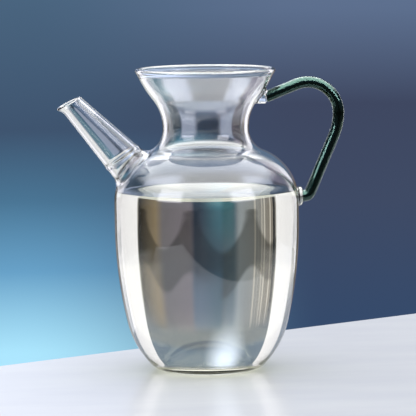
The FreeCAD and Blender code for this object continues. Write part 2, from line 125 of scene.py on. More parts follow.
# %% Profile of the blown wall
def wall_profile(out, floor, corner, counts):
    """The arcs from the end of the flat bottom to the lip, with the wall moved outward by out.

    Each arc is c + (r + out) (cos a, sin a) where it bulges, and c + (r - out) (cos a, sin a) where it
    hollows. counts gives the points on the foot, taper, belly, straight, shoulder, neck, flare and lip.
    """
    rim = np.array([RIM_RADIUS + out, HEIGHT - RIM_BEAD])
    neck_top = rim[1] - TRUMPET
    neck_centre = (NECK_RADIUS + NECK_BEND, neck_top - NECK_STRAIGHT)
    reach = NECK_BEND + SHOULDER_BEND
    run = neck_centre[0] - BELLY_RADIUS + SHOULDER_BEND
    turn = math.degrees(math.acos(run / reach))
    shoulder_centre = (neck_centre[0] - run, neck_centre[1] - math.sqrt(reach ** 2 - run ** 2))
    belly_low = shoulder_centre[1] - BELLY_STRAIGHT
    belly_arc, taper_arc = BELLY_BEND + out, TAPER_BEND + out
    side_x = BELLY_RADIUS + out
    belly_centre = (side_x - belly_arc, belly_low)
    belly_turn = math.degrees(math.asin((belly_low - TAPER_HEIGHT) / belly_arc))
    taper_centre = on_circle(belly_centre, belly_arc - taper_arc, -belly_turn)
    foot_turn = math.degrees(math.asin((taper_centre[1] - floor - corner) / (taper_arc - corner)))
    foot_centre = on_circle(taper_centre, taper_arc - corner, -foot_turn)
    flare_centre, flare_arc, lip_arc = (NECK_RADIUS + FLARE_BEND, neck_top), FLARE_BEND - out, LIP_BEND + out
    span = math.dist(rim, flare_centre)
    swing = ((flare_arc + lip_arc) ** 2 + span ** 2 - lip_arc ** 2) / (2 * (flare_arc + lip_arc) * span)
    lip_side = angle_of(flare_centre, rim) + math.degrees(math.acos(swing))
    lip_centre = on_circle(flare_centre, flare_arc + lip_arc, lip_side)
    pieces = [
        arc_points(foot_centre, corner, -90, -foot_turn, counts[0]),
        arc_points(taper_centre, taper_arc, -foot_turn, -belly_turn, counts[1])[1:],
        arc_points(belly_centre, belly_arc, -belly_turn, 0, counts[2])[1:],
        np.linspace((side_x, belly_low), (side_x, shoulder_centre[1]), counts[3])[1:],
        arc_points(shoulder_centre, SHOULDER_BEND + out, 0, turn, counts[4])[1:],
        arc_points(neck_centre, NECK_BEND - out, 180 + turn, 180, counts[5])[1:],
        arc_points(flare_centre, flare_arc, 180, lip_side, counts[6]),
        arc_points(lip_centre, lip_arc, lip_side - 180, angle_of(lip_centre, rim), counts[7])[1:],
    ]
    return np.concatenate(pieces)


COARSE = (9, 18, 26, 8, 34, 18, 16, 14)
FINE = tuple(40 * count for count in COARSE)
outside_fine = wall_profile(0.0, 0.0, FOOT_BEND, FINE)
inside_fine = wall_profile(-WALL, FLOOR_THICKNESS, FLOOR_BEND, FINE)
print("outer wall:", len(outside_fine), "points, neck radius", outside_fine[:, 0].min().round(2))

# %% [markdown]
# The foot is hollowed underneath, so the pitcher stands on a ring. The rim ends in a round bead, which
# forms by itself when the edge is melted. Both are added to the wall, and the whole section, outside and
# inside, becomes one line from the pole under the foot to the pole on the inner floor. One line gives one
# closed surface when it is turned, with no seam between the outside and the inside.

# %% The whole section as one line
PUNT_END, RING_CORNER = PUNT_RADIUS - 0.35, [[PUNT_RADIUS - 0.12, 0.035], [PUNT_RADIUS + 0.2, 0.0]]
RING_START, RING_STOP, FLOOR_STEP = 1.2, 0.8, 1.2
BEAD_START, BEAD_END, BEAD_GAP = -38, 218, 0.6
WALL_TOP = HEIGHT - 2 * RIM_BEAD - BEAD_GAP
PUNT_COUNT, RING_COUNT, BEAD_COUNT, FLOOR_COUNT = 12, 4, 19, 14


def punt_points(count):
    """The arc of the hollow under the foot: z = depth - R + sqrt(R^2 - r^2), from the pole to its rim."""
    radius = (PUNT_RADIUS ** 2 + PUNT_DEPTH ** 2) / (2 * PUNT_DEPTH)
    r = np.linspace(0.0, PUNT_END, count)
    return np.stack([r, PUNT_DEPTH - radius + np.sqrt(radius ** 2 - r ** 2)], axis=1)


def bead_points(count):
    """The rim's bead: the arc c + b (cos a, sin a) from the outer wall over the top to the inner one."""
    centre = (RIM_RADIUS - WALL / 2, HEIGHT - RIM_BEAD)
    return arc_points(centre, RIM_BEAD, BEAD_START, BEAD_END, count)


outer = wall_profile(0.0, 0.0, FOOT_BEND, COARSE)
inner = wall_profile(-WALL, FLOOR_THICKNESS, FLOOR_BEND, COARSE)
under = np.concatenate([
    punt_points(PUNT_COUNT),
    RING_CORNER,
    np.linspace((PUNT_RADIUS + RING_START, 0.0), (outer[0, 0] - RING_STOP, 0.0), RING_COUNT),
])
bead = bead_points(BEAD_COUNT)
outer = outer[outer[:, 1] < WALL_TOP]
inner = inner[inner[:, 1] < WALL_TOP]
inner_floor = np.linspace((0.0, FLOOR_THICKNESS), inner[0] - (FLOOR_STEP, 0.0), FLOOR_COUNT)
section = np.concatenate([under, outer, bead, inner[::-1], inner_floor[::-1]]) * MM
INNER_TOP = len(under) + len(outer) + len(bead)
print("section:", len(section), "points, from the pole under the foot to the pole on the inner floor")


# %% [markdown]
# ## Welding a branch to the wall
#
# The spout and the two pads of the handle are worked into the wall while it is hot, so the join is a soft
# hollow curve and the glass is one piece. A boolean would leave thin triangles there, and glass shows
# every one of them as a streak. Here the turned surface gets a rectangular window in its grid, and rings
# of vertices lead from the window's edge, along the wall, through the round of the weld and out along the
# branch. Every ring has as many vertices as the window's edge, so only quads are needed.

# %% The wall as a surface: points by turn and by length along the profile
HALVINGS = 40


def along(profile):
    """The running length of a profile's points: the sum of the steps between them."""
    return np.concatenate([[0.0], np.cumsum(np.hypot(*np.diff(profile, axis=0).T))])


def wall_point(profile, turn, length):
    """The point (r cos t, r sin t, z), where r and z are read off the profile at a length along it."""
    run = along(profile)
    r = np.interp(length, run, profile[:, 0])
    z = np.interp(length, run, profile[:, 1])
    return np.stack([r * np.cos(turn), r * np.sin(turn), z], axis=-1)


def outside_of(profile, point):
    """How far points lie outside the wall: their distance from the axis less the wall's radius there."""
    return np.hypot(point[..., 0], point[..., 1]) - np.interp(point[..., 2], profile[:, 1], profile[:, 0])


def solve(function, bounds, count):
    """The roots of an increasing function of an array, found by halving the span between two bounds."""
    low, high = [np.full(count, bound) for bound in bounds]
    for _ in range(HALVINGS):
        middle = (low + high) / 2
        below = function(middle) < 0
        low, high = np.where(below, middle, low), np.where(below, high, middle)
    return (low + high) / 2


print("the wall is a surface of turn and length,", round(along(outside_fine)[-1], 1), "mm long in section")


# %% The axes of the spout and of the two pads
SEAT = np.array([
    -(BELLY_RADIUS - SHOULDER_BEND + SHOULDER_BEND * math.cos(math.radians(SEAT_ANGLE))), 0.0, 0.0])
neck_low = HEIGHT - RIM_BEAD - TRUMPET - NECK_STRAIGHT
reach = NECK_BEND + SHOULDER_BEND
SHOULDER_START = neck_low - math.sqrt(reach ** 2 - (NECK_RADIUS + reach - BELLY_RADIUS) ** 2)
SEAT[2] = SHOULDER_START + SHOULDER_BEND * math.sin(math.radians(SEAT_ANGLE))
rise = math.radians(SPOUT_RISE)
SPOUT_AXES = np.array([
    [0, -1, 0],
    [math.sin(rise), 0, math.cos(rise)],
    [-math.cos(rise), 0, math.sin(rise)],
])
PAD_AXES = np.array([[0, 1, 0], [0, 0, 1], [1, 0, 0]], float)
over = on_circle((BELLY_RADIUS + REACH - TOP_BEND, HEIGHT - DROP - TOP_BEND), TOP_BEND, 90 + RISE)
NECK_SEAT, BELLY_SEAT = (NECK_RADIUS + RIM_RADIUS) / 2 + NECK_PAD, BELLY_RADIUS + BELLY_PAD
NECK_SEAT_HEIGHT = over[1] - (over[0] - NECK_SEAT) * math.tan(math.radians(RISE))
print("spout seat:", SEAT.round(2), "neck pad height:", round(NECK_SEAT_HEIGHT, 2))


# %% [markdown]
# The weld is drawn in the plane of each spoke round the branch's axis. In that plane the wall is a curve
# and the branch a straight side. The weld leaves the wall along its tangent and reaches the side along
# its own, and a cubic with its two middle points drawn towards the corner of those tangents comes close
# to an arc.

# %% Rings that lead from the wall out along a branch
WALL_SEARCH, CORNER_SEARCH = (-26.0, 9.0), (-14.0, 9.0)
PULL, SLOPE_STEP = 0.58, 0.2


def spoke(axes, angle):
    """The unit direction cos a v + sin a w across the branch's axis."""
    return np.cos(angle)[:, None] * axes[0] + np.sin(angle)[:, None] * axes[1]


def weld_rings(profile, seat, axes, angle, side, fillet, steps):
    """Rings through the weld, as (distance from the axis, distance along it), for each spoke.

    side(t) is the branch's radius at a distance t along its axis. On each spoke the corner is where the side
    meets the wall, the wall there slopes by s, and the weld takes fillet * tan((90 - s) / 2) of both.
    """
    out = spoke(axes, angle)

    def height(rho):
        """The distance along the axis at which the spoke's line at rho from the axis meets the wall."""
        start = seat + rho[:, None] * out
        return solve(lambda t: outside_of(profile, start + t[:, None] * axes[2]), WALL_SEARCH, len(rho))

    def side_outside(t):
        """How far the branch's side lies outside the wall at a distance t along the axis."""
        return outside_of(profile, seat + t[:, None] * axes[2] + side(t)[:, None] * out)

    corner = solve(side_outside, CORNER_SEARCH, len(angle))
    rho = side(corner)
    slope = np.arctan(height(rho + 1.0) - height(rho))
    take = fillet * np.tan((math.pi / 2 + slope) / 2)
    foot_rho = rho + take * np.cos(slope)
    foot = np.stack([foot_rho, height(foot_rho)], axis=1)
    head_t = corner + take
    head = np.stack([side(head_t), head_t], axis=1)
    foot_slope = (height(foot_rho + SLOPE_STEP) - height(foot_rho - SLOPE_STEP)) / (2 * SLOPE_STEP)
    side_slope = (side(head_t + SLOPE_STEP) - side(head_t - SLOPE_STEP)) / (2 * SLOPE_STEP)
    climb = foot_slope * (head[:, 0] - side_slope * head[:, 1] - foot[:, 0])
    meet_t = (foot[:, 1] + climb) / (1 - foot_slope * side_slope)
    meet = np.stack([head[:, 0] + side_slope * (meet_t - head[:, 1]), meet_t], axis=1)
    u = np.linspace(0, 1, steps)[:, None, None]
    return bezier(foot, foot + PULL * (meet - foot), head + PULL * (meet - head), head, u)


def in_space(seat, axes, angle, rings):
    """The points seat + rho e(a) + t n of rings given as (rho, t)."""
    out = spoke(axes, angle)
    return seat + rings[..., :1] * out + rings[..., 1:] * axes[2]


def window_spokes(cells_round, cells_up):
    """The angle of the spoke for each vertex of a window's edge: its corners are at the diagonals."""
    sides = [(-135, -45, cells_round), (-45, 45, cells_up), (45, 135, cells_round), (135, 225, cells_up)]
    return np.radians(np.concatenate([np.linspace(a, b, n, endpoint=False) for a, b, n in sides]))


print("weld helpers ready")

# %% [markdown]
# ## The turned body
#
# The section is turned in even steps. A window is a block of the grid's cells, named by its rows and
# columns. Between the window's edge and the weld's first ring the surface is still the plain wall, so the
# rings there are straight lines in turn and length, carried onto the wall.

# %% The grid, and rings from a window's edge
COLUMNS = 216
ROWS = len(section)
turns = np.arange(COLUMNS) * (2 * math.pi / COLUMNS)


def window_edge(rows, columns):
    """The grid's (row, column) pairs round a window: along its lower row, up, back and down."""
    (row_a, row_b), (col_a, col_b) = rows, columns
    step = 1 if row_b > row_a else -1
    up = np.arange(row_a, row_b, step)
    across = np.arange(col_a, col_b)
    row = np.concatenate([0 * across + row_a, up, 0 * across + row_b, up[::-1] + step])
    column = np.concatenate([across, 0 * up + col_b, across[::-1] + 1, 0 * up + col_a])
    return row, column % COLUMNS, column


def wall_rings(profile, edge, ring_points, steps):
    """Rings on the wall from a window's edge to a first ring: (1 - w) edge + w ring, in turn and length."""
    row, _, column = edge
    run = along(profile)
    reached = section[row] / MM
    edge_length = np.interp(reached[:, 1], profile[:, 1], run)
    edge_turn = column * (2 * math.pi / COLUMNS)
    ring_length = np.interp(ring_points[:, 2], profile[:, 1], run)
    ring_turn = np.arctan2(ring_points[:, 1], ring_points[:, 0])
    ring_turn = ring_turn + 2 * math.pi * np.round((edge_turn.mean() - ring_turn) / (2 * math.pi))
    w = np.linspace(0, 1, steps + 1)[1:, None]
    return wall_point(profile, (1 - w) * edge_turn + w * ring_turn, (1 - w) * edge_length + w * ring_length)


print("grid:", ROWS, "rows of", COLUMNS, "points")


# %% The windows of the spout and of the pads
def rows_between(low, high, inside=False):
    """The first and last row of the section that lie between two heights, outside or inside."""
    z = section[:, 1] / MM
    index = np.arange(ROWS)
    side = (index >= INNER_TOP) if inside else ((index > len(under)) & (index < len(under) + len(outer)))
    chosen = index[side & (z > low) & (z < high)]
    return (chosen.max(), chosen.min()) if inside else (chosen.min(), chosen.max())


def twin_row(row):
    """The inner wall's row behind an outer one: both walls have the same points along their arcs."""
    return INNER_TOP + len(inner) - 1 - (row - len(under))


def columns_near(turn, reach):
    """The first and last column of a window that reaches evenly to both sides of a turn in degrees."""
    middle = round(turn / 360 * COLUMNS)
    return middle - reach, middle + reach


SPOUT_LOW, SPOUT_HIGH = SHOULDER_START + 1.2, 112.4
NECK_PAD_SPAN, BELLY_PAD_SPAN = 6.2, 8.4
SPOUT_CELLS, NECK_PAD_CELLS, BELLY_PAD_CELLS = 19, 7, 6
SPOUT_COLUMNS = columns_near(180, SPOUT_CELLS)
SPOUT_ROWS = rows_between(SPOUT_LOW, SPOUT_HIGH)
SPOUT_ROWS_IN = (twin_row(SPOUT_ROWS[0]), twin_row(SPOUT_ROWS[1]))
NECK_PAD_ROWS = rows_between(NECK_SEAT_HEIGHT - NECK_PAD_SPAN, NECK_SEAT_HEIGHT + NECK_PAD_SPAN)
NECK_PAD_COLUMNS = columns_near(0, NECK_PAD_CELLS)
BELLY_PAD_ROWS = rows_between(ROD_FOOT - BELLY_PAD_SPAN, ROD_FOOT + BELLY_PAD_SPAN)
BELLY_PAD_COLUMNS = columns_near(0, BELLY_PAD_CELLS)
print("windows, in rows: spout", SPOUT_ROWS, "and", SPOUT_ROWS_IN, "pads", NECK_PAD_ROWS, BELLY_PAD_ROWS)

# %% [markdown]
# ## The spout
#
# The spout is a drawn tube: a straight taper that flares at its lip. The outside and the bore are the
# same curve, 1.7 mm apart. The weld ring is the swelling left where the tube was joined to the shoulder's
# boss, on the outside and a little on the bore. The mouth is cut on a slant and melted round.

# %% The tube's wall, its flare and its slanted mouth
TAPER = (SPOUT_ROOT - SPOUT_TIP) / (SPOUT_DEPTH + SPOUT_LENGTH - SPOUT_FLARE)
FLARE_START = SPOUT_LENGTH - SPOUT_FLARE
WELD_HEIGHT, WELD_WIDTH = 0.42, 0.8
ROOT_ROUND, ROOT_ROUND_IN = 6.0, 4.0
WALL_STEPS, WELD_STEPS, WELD_STEPS_IN, TUBE_RINGS, LIP_RINGS = 6, 12, 10, 64, 9
EVEN_SHARE, LEAST = 0.45, 0.01


def spout_flare(out):
    """The flare's radius R and its centre (r, t), for the tube's wall moved outward by out."""
    bend, turn = SPOUT_FLARE_BEND - out, math.atan(TAPER)
    return bend, np.array([SPOUT_TIP + out + bend * math.cos(turn), FLARE_START + bend * math.sin(turn)])


def tube_radius(t, out):
    """The taper r0 - k (t + depth), and past the flare's start the arc rc - sqrt(R^2 - (t - tc)^2)."""
    bend, centre = spout_flare(out)
    straight = SPOUT_ROOT + out - TAPER * (t + SPOUT_DEPTH)
    flared = centre[0] - np.sqrt(np.maximum(bend ** 2 - (t - centre[1]) ** 2, LEAST))
    return np.where(t < FLARE_START, straight, flared)


def welded_radius(t, angle, out, sign):
    """The tube's radius with the weld ring on it: sign h exp(-((t - tw) / w)^2), tw = d - tan(s) r sin a."""
    radius = tube_radius(t, out)
    weld_t = WELD_DISTANCE - math.tan(math.radians(WELD_SLANT)) * radius * np.sin(angle)
    return radius + sign * WELD_HEIGHT * np.exp(-((t - weld_t) / WELD_WIDTH) ** 2)


def mouth_edge(angle, out, side):
    """The roll of radius e between the flare's arc about C and the slanted mouth n . p = L / |(k, 1)|.

    Its centre P lies e inside the mouth and R + side e from C. Gives the points where the roll leaves the
    arc and reaches the mouth, with P, all as (r, t).
    """
    bend, centre = spout_flare(out)
    slope = math.tan(math.radians(MOUTH_SLANT)) * np.sin(angle)
    long = np.sqrt(1 + slope ** 2)
    square = np.stack([slope / long, 1 / long], axis=1)
    level = np.stack([1 / long, -slope / long], axis=1)
    lift = SPOUT_LENGTH / long - MOUTH_ROUND - square @ centre
    reach = bend + side * MOUTH_ROUND
    middle = centre + lift[:, None] * square - np.sqrt(reach ** 2 - lift ** 2)[:, None] * level
    return centre + (middle - centre) * bend / reach, middle + MOUTH_ROUND * square, middle


def tube_rings(angle, out, sign, start_t, end_t, steps):
    """Rings (r, t) from one end of the tube's wall to the other, with t closer together at the weld ring."""
    u = np.linspace(0, 1, steps)[:, None]
    t = start_t + (end_t - start_t) * (EVEN_SHARE * u + (1 - EVEN_SHARE) * u ** 2)
    return np.stack([welded_radius(t, angle, out, sign), t], axis=-1)


def roll(edge, steps):
    """Points P + e (cos a, sin a) round a rolled edge, from where it leaves the wall to the mouth."""
    leaves, meets, middle = edge
    first, last = [np.arctan2(*(end - middle).T[::-1]) for end in (leaves, meets)]
    turn = first + (last - first) * np.linspace(0, 1, steps)[:, None]
    return middle + MOUTH_ROUND * np.stack([np.cos(turn), np.sin(turn)], axis=-1)


print("the tube narrows by", round(TAPER, 4), "mm a mm and flares from", round(FLARE_START, 2), "mm on")


# %% Rings of the spout, from the shoulder out over the lip and back down the bore
def spout_rings():
    """All the rings between the outer window's edge and the inner one's, as points in millimetres."""
    angle = window_spokes(SPOUT_COLUMNS[1] - SPOUT_COLUMNS[0], SPOUT_ROWS[1] - SPOUT_ROWS[0])
    weld = weld_rings(
        outside_fine, SEAT, SPOUT_AXES, angle, lambda t: tube_radius(t, 0.0), ROOT_ROUND, WELD_STEPS)
    weld_in = weld_rings(
        inside_fine, SEAT, SPOUT_AXES, angle, lambda t: tube_radius(t, -SPOUT_WALL), ROOT_ROUND_IN,
        WELD_STEPS_IN)
    mouth, mouth_in = mouth_edge(angle, 0.0, 1), mouth_edge(angle, -SPOUT_WALL, -1)
    tube = tube_rings(angle, 0.0, 1, weld[-1, :, 1], mouth[0][:, 1], TUBE_RINGS)
    bore = tube_rings(angle, -SPOUT_WALL, -1, weld_in[-1, :, 1], mouth_in[0][:, 1], TUBE_RINGS)
    face = (mouth[1] + mouth_in[1])[None] / 2
    lip = [roll(mouth, LIP_RINGS)[1:], face, roll(mouth_in, LIP_RINGS)[::-1][:-1]]
    rings = np.concatenate([weld[1:], tube[1:], *lip, bore[::-1], weld_in[-2:0:-1]])
    space = in_space(SEAT, SPOUT_AXES, angle, rings)
    foot = in_space(SEAT, SPOUT_AXES, angle, weld[0])
    foot_in = in_space(SEAT, SPOUT_AXES, angle, weld_in[0])
    edge, edge_in = window_edge(SPOUT_ROWS, SPOUT_COLUMNS), window_edge(SPOUT_ROWS_IN, SPOUT_COLUMNS)
    on_wall = wall_rings(outside_fine, edge, foot, WALL_STEPS)
    on_wall_in = wall_rings(inside_fine, edge_in, foot_in, WALL_STEPS)
    return np.concatenate([on_wall, space, on_wall_in[::-1]])


spout = spout_rings()
print("spout:", spout.shape[0], "rings of", spout.shape[1], "points")
print("the spout's furthest point:", spout[..., 0].min().round(2))


# %% [markdown]
# ## The two clear pads
#
# The handle isn't fused straight to the wall: a short stub of clear glass is melted on first, and the
# green rod is pressed onto its face. Each stub is a round branch like the spout, closed by a soft-edged
# flat end.

# %% Rings of a pad
PAD_EDGE, PAD_CENTRE = 0.8, 0.25
PAD_WALL_STEPS, PAD_WELD_STEPS, PAD_RIM_COUNT, PAD_CAP_COUNT = 4, 7, 8, 6
NECK_PAD_ROOT, BELLY_PAD_ROOT = 1.6, 1.8


def pad_rings(rows, columns, height, radius, face_x, root):
    """Rings from the window's edge, through the weld, along the stub, round its rim and in to its centre.

    The rim is the arc (r - e, t - e) + e (cos a, sin a) with a from 0 to 90 degrees.
    """
    wall = float(np.interp(height, outside_fine[:, 1], outside_fine[:, 0]))
    face = face_x - wall
    seat = np.array([wall, 0.0, height])
    angle = window_spokes(columns[1] - columns[0], rows[1] - rows[0])
    weld = weld_rings(
        outside_fine, seat, PAD_AXES, angle, lambda t: radius + 0 * t, root, PAD_WELD_STEPS)
    rim = arc_points((radius - PAD_EDGE, face - PAD_EDGE), PAD_EDGE, 0, 90, PAD_RIM_COUNT)
    inward = np.linspace(radius - PAD_EDGE, PAD_CENTRE, PAD_CAP_COUNT)[1:]
    cap = np.stack([inward, np.full(len(inward), face)], axis=1)
    ends = np.concatenate([rim, cap])[:, None, :] + 0 * angle[None, :, None]
    space = in_space(seat, PAD_AXES, angle, np.concatenate([weld[1:], ends]))
    foot = in_space(seat, PAD_AXES, angle, weld[0])
    on_wall = wall_rings(outside_fine, window_edge(rows, columns), foot, PAD_WALL_STEPS)
    return np.concatenate([on_wall, space])


neck_pad = pad_rings(
    NECK_PAD_ROWS, NECK_PAD_COLUMNS, NECK_SEAT_HEIGHT, NECK_PAD_RADIUS, NECK_SEAT, NECK_PAD_ROOT)
belly_pad = pad_rings(
    BELLY_PAD_ROWS, BELLY_PAD_COLUMNS, ROD_FOOT, BELLY_PAD_RADIUS, BELLY_SEAT, BELLY_PAD_ROOT)
print("pads:", neck_pad.shape[:2], belly_pad.shape[:2], "faces at x", neck_pad[-1, 0, 0].round(3),
      belly_pad[-1, 0, 0].round(3))


# %% [markdown]
# ## One closed glass surface
#
# The turned grid and the branches share the vertices of the windows' edges, so nothing has to be merged.
# The faces go round each cell the same way, which makes every normal point out of the glass. The signed
# volume of a closed surface is the sum over its faces of p . (q x r) / 6, and it comes out positive if
# they do.

# %% Meshes from arrays
def ring_faces(index):
    """Quads between rows of vertex numbers, closed round: (m, k), (m, k+1), (m+1, k+1), (m+1, k)."""
    after = np.roll(index, -1, axis=1)
    return np.stack([index[:-1], after[:-1], after[1:], index[1:]], axis=-1).reshape(-1, 4)


def fan(centre, ring):
    """Triangles from one vertex to a closed ring, ordered as a ring further along the surface would be."""
    return np.stack([ring, np.roll(ring, -1), np.full(len(ring), centre)], axis=1)


def closed_volume(points, faces):
    """The volume inside a closed surface, in cubic metres: the sum of p . (q x r) / 6 over its triangles."""
    total = 0.0
    for quads in faces:
        for a, b in ((1, 2), (2, 3))[:quads.shape[1] - 2]:
            p, q, r = points[quads[:, 0]], points[quads[:, a]], points[quads[:, b]]
            total += np.einsum("ij,ij->i", p, np.cross(q, r)).sum() / 6
    return total


def open_edges(faces):
    """How many edges don't have exactly one neighbour each way round."""
    pairs = np.concatenate([np.stack([f, np.roll(f, -1, axis=1)], axis=-1).reshape(-1, 2) for f in faces])
    size = int(pairs.max()) + 1
    forward = pairs[:, 0] * size + pairs[:, 1]
    backward = pairs[:, 1] * size + pairs[:, 0]
    return len(np.setxor1d(forward, backward)) + len(forward) - len(np.unique(forward))


def make_piece(name, points, faces):
    """A smooth shaded mesh object at the origin, from points in metres and arrays of quads and triangles."""
    used = np.unique(np.concatenate([f.ravel() for f in faces]))
    number = np.zeros(len(points), int)
    number[used] = np.arange(len(used))
    faces = [number[f] for f in faces]
    points = points[used]
    mesh = bpy.data.meshes.new(name)
    mesh.from_pydata(points.tolist(), [], [face for f in faces for face in f.tolist()])
    mesh.shade_smooth()
    piece = bpy.data.objects.new(name, mesh)
    bpy.context.scene.collection.objects.link(piece)
    print(f"{name}: {len(points)} vertices, open edges {open_edges(faces)},",
          f"{closed_volume(points, faces) * 1e6:.2f} ml")
    return piece


# %% The blown body with its spout and pads
def blown_glass():
    """The turned grid less its windows, with the branches' rings sewn to the windows' edges."""
    grid = section[:, None, :1] * np.stack([np.cos(turns), np.sin(turns)], axis=-1)
    grid = np.concatenate([grid, np.broadcast_to(section[:, None, 1:], (ROWS, COLUMNS, 1))], axis=2)
    number = np.arange(ROWS * COLUMNS).reshape(ROWS, COLUMNS)
    keep = np.ones((ROWS - 1, COLUMNS), bool)
    keep[0] = keep[-1] = False
    points = [grid.reshape(-1, 3)]
    quads, triangles = [], [fan(number[0, 0], number[1])[:, ::-1], fan(number[-1, 0], number[-2])]
    count = number.size
    branches = [
        (spout, SPOUT_ROWS, SPOUT_COLUMNS, SPOUT_ROWS_IN),
        (neck_pad, NECK_PAD_ROWS, NECK_PAD_COLUMNS, None),
        (belly_pad, BELLY_PAD_ROWS, BELLY_PAD_COLUMNS, None),
    ]
    for rings, rows, columns, rows_in in branches:
        row, column, _ = window_edge(rows, columns)
        sewn = [number[row, column][None], count + np.arange(rings[..., 0].size).reshape(rings.shape[:2])]
        points.append(rings.reshape(-1, 3) * MM)
        count += rings[..., 0].size
        across = np.arange(columns[0], columns[1]) % COLUMNS
        keep[rows[0]:rows[1], across] = False
        if rows_in is None:
            points.append(rings[-1].mean(axis=0, keepdims=True) * MM)
            triangles.append(fan(count, sewn[1][-1]))
            count += 1
        else:
            row, column, _ = window_edge(rows_in, columns)
            sewn.append(number[row, column][None])
            keep[rows_in[1]:rows_in[0], across] = False
        quads.append(ring_faces(np.concatenate(sewn)))
    cells = ring_faces(number).reshape(ROWS - 1, COLUMNS, 4)
    quads.append(cells[keep])
    faces = [np.concatenate(quads), np.concatenate(triangles)]
    return make_piece("blown_glass", np.concatenate(points), faces)


glass = blown_glass()


# %% [markdown]
# ## The tea
#
# A liquid in a glass is drawn as its own closed body. Its side lies a twentieth of a millimetre inside
# the glass wall, so that light passes from glass to tea with no film of air between them, which would
# turn the whole side into a mirror. Where the surface meets the wall it climbs, as water does on clean
# glass. The real climb is two or three millimetres wide. Here it is drawn wider and gentler, because a
# steep climb traps the light and draws a black line, while this one mirrors the pale floor and draws the
# cream line that real tea shows. At a distance d from the wall the tea stands c (1 - d / w)^2 above its
# level, where c is the height of the climb and w how far it reaches.

# %% The tea's turned body
def turned(profile, columns):
    """A closed surface of revolution: the profile runs from the lower pole out and up to the upper pole."""
    angle = np.arange(columns) * (2 * math.pi / columns)
    grid = profile[1:-1, None, :1] * np.stack([np.cos(angle), np.sin(angle)], axis=-1)
    height = np.broadcast_to(profile[1:-1, None, 1:], grid.shape[:2] + (1,))
    points = np.concatenate([np.concatenate([grid, height], axis=2).reshape(-1, 3),
                             [[0, 0, profile[0, 1]], [0, 0, profile[-1, 1]]]])
    number = np.arange(grid.shape[0] * columns).reshape(-1, columns)
    poles = [fan(number.size, number[0])[:, ::-1], fan(number.size + 1, number[-1])]
    return points, [ring_faces(number), np.concatenate(poles)]


OVERLAP = 0.05
CLIMB, CLIMB_REACH = 3.9, 22.0
TEA_TOP, TEA_GAP = TEA_HEIGHT + CLIMB, 0.3
BOTTOM_COUNT, CLIMB_COUNT, SURFACE_COUNT, TEA_COLUMNS = 12, 17, 10, 144
side = wall_profile(-WALL + OVERLAP, FLOOR_THICKNESS - OVERLAP, FLOOR_BEND, COARSE)
side = side[side[:, 1] < TEA_TOP - TEA_GAP]
top_radius = float(np.interp(TEA_TOP, inside_fine[:, 1], inside_fine[:, 0])) + OVERLAP
inward = np.concatenate([
    np.linspace(0, CLIMB_REACH, CLIMB_COUNT)[:-1],
    np.linspace(CLIMB_REACH, top_radius, SURFACE_COUNT),
])
climb = CLIMB * np.maximum(1 - inward / CLIMB_REACH, 0) ** 2
surface = np.stack([top_radius - inward, TEA_HEIGHT + climb], axis=1)
bottom = np.linspace((0.0, FLOOR_THICKNESS - OVERLAP), side[0] - (FLOOR_STEP, 0.0), BOTTOM_COUNT)
tea_points, tea_faces = turned(np.concatenate([bottom, side, surface]) * MM, TEA_COLUMNS)
tea = make_piece("poured_tea", tea_points, tea_faces)


# %% [markdown]
# ## The handle
#
# The handle is one glass rod, heated and bent round a former: a short level foot, a tight elbow, a long
# leaning run, a wide bend at the side and a tighter one over the top. It is a circle carried along that
# path, in planes that stay square to it. The path lies in one plane, so the section never twists. Both
# ends go a tenth of a millimetre into the clear pads, as glass that was pressed on while it was soft.

# %% The rod, a circle carried along arcs and straight runs
ROD_SUNK, ROD_COLUMNS = 0.1, 48
FOOT_COUNT, ELBOW_COUNT, RUN_COUNT, SIDE_COUNT, TOP_COUNT, NECK_COUNT = 5, 14, 34, 20, 44, 20


def rod_path():
    """The middle line in the plane y = 0, as points (x, z): straight runs and arcs that touch."""
    reach_x = BELLY_RADIUS + REACH
    top = np.array([reach_x - TOP_BEND, HEIGHT - DROP - TOP_BEND])
    side_centre = np.array([reach_x - SIDE_BEND, top[1]])
    side_low = on_circle(side_centre, SIDE_BEND, -LEAN)
    slope = math.radians(LEAN)
    elbow_z = ROD_FOOT + ELBOW * (1 - math.sin(slope))
    elbow_high = np.array([side_low[0] - (side_low[1] - elbow_z) * math.tan(slope), elbow_z])
    elbow = np.array([elbow_high[0] - ELBOW * math.cos(slope), ROD_FOOT + ELBOW])
    over_point = on_circle(top, TOP_BEND, 90 + RISE)
    neck_x = NECK_SEAT - ROD_SUNK
    neck = (neck_x, over_point[1] - (over_point[0] - neck_x) * math.tan(math.radians(RISE)))
    return np.concatenate([
        np.linspace((BELLY_SEAT - ROD_SUNK, ROD_FOOT), (elbow[0], ROD_FOOT), FOOT_COUNT),
        arc_points(elbow, ELBOW, -90, -LEAN, ELBOW_COUNT)[1:],
        np.linspace(elbow_high, side_low, RUN_COUNT)[1:],
        arc_points(side_centre, SIDE_BEND, -LEAN, 0, SIDE_COUNT)[1:],
        arc_points(top, TOP_BEND, 0, 90 + RISE, TOP_COUNT)[1:],
        np.linspace(over_point, neck, NECK_COUNT)[1:],
    ])


def carried_circle(path, radius, count):
    """Points p(s) + r (cos a n(s) + sin a y), with n(s) square to the path p(s) in its plane."""
    step = np.gradient(path, axis=0)
    step /= np.hypot(*step.T)[:, None]
    normal = np.stack([-step[:, 1], step[:, 0]], axis=1)
    angle = np.arange(count) * (2 * math.pi / count)
    across = normal[:, None, :] * np.cos(angle)[None, :, None] * radius
    x = path[:, None, 0] + across[..., 0]
    y = np.broadcast_to(radius * np.sin(angle), x.shape)
    z = path[:, None, 1] + across[..., 1]
    return np.stack([x, y, z], axis=-1)


